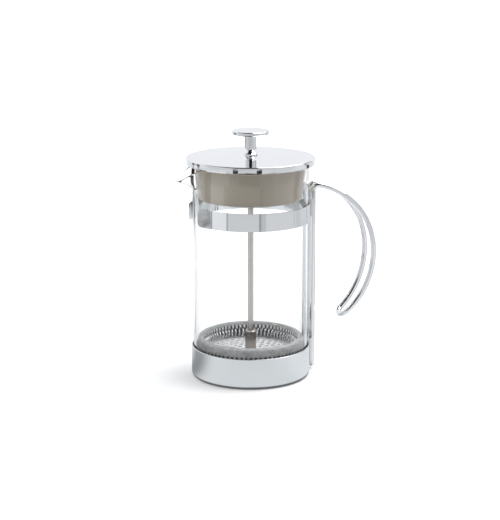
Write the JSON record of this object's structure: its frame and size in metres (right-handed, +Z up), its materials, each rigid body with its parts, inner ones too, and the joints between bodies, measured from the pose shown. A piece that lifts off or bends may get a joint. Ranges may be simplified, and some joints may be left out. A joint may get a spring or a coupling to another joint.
{
  "type": "french press",
  "caption": "Glass coffee press in a steel cup and band with a bent-rod handle; a knob and rod push a round mesh filter down through the lid.",
  "frame": {"origin": "centre of the base cup's flat bottom, on the surface it stands on", "axes": "+Z up along the beaker's axis, +X towards the handle, -X towards the spout"},
  "size_m": [0.1709, 0.106, 0.2064],
  "materials": {
    "satin_steel": "satin-brushed stainless steel, soft vertical shading",
    "black_rubber": "matt black cushion",
    "polished_steel": "polished stainless steel strip",
    "chrome_wire": "bright chrome-plated rod",
    "clear_glass": "clear borosilicate glass",
    "mirror_chrome": "mirror chrome",
    "taupe_plastic": "glossy taupe plastic",
    "zinc_steel": "bright zinc-plated steel",
    "turned_chrome": "turned and chromed steel",
    "drawn_steel": "drawn stainless rod",
    "hub_chrome": "polished hub",
    "plate_steel": "bright perforated sheet",
    "spring_steel": "bright spring wire",
    "woven_steel": "fine woven stainless screen"
  },
  "bodies": {
    "frame": {"base_cup": "satin_steel", "base_cushion": "black_rubber", "upper_band": "polished_steel", "handle_rod": "chrome_wire", "upper_saddle": "polished_steel", "lower_saddle": "polished_steel"},
    "beaker": {"glass_beaker": "clear_glass"},
    "lid": {"lid_cover": "mirror_chrome", "lid_insert": "taupe_plastic", "lid_bush": "mirror_chrome", "lid_washer": "zinc_steel", "lid_nut": "zinc_steel"},
    "plunger": {"knob_disc": "mirror_chrome", "knob_stem": "turned_chrome", "plunger_rod": "drawn_steel", "hub_nut": "hub_chrome", "spiral_plate": "plate_steel", "coil_spring": "spring_steel", "mesh_screen": "woven_steel", "cross_plate": "plate_steel", "foot_nut": "zinc_steel"}
  },
  "joints": [
    {"name": "beaker_lift", "type": "slide", "parent": "frame", "child": "beaker", "axis": [0, 0, 1], "range_m": [0, 0.15]},
    {"name": "lid_lift", "type": "slide", "parent": "beaker", "child": "lid", "axis": [0, 0, 1], "range_m": [0, 0.17]},
    {"name": "plunge", "type": "slide", "parent": "lid", "child": "plunger", "axis": [0, 0, 1], "range_m": [0, 0.117]}
  ]
}
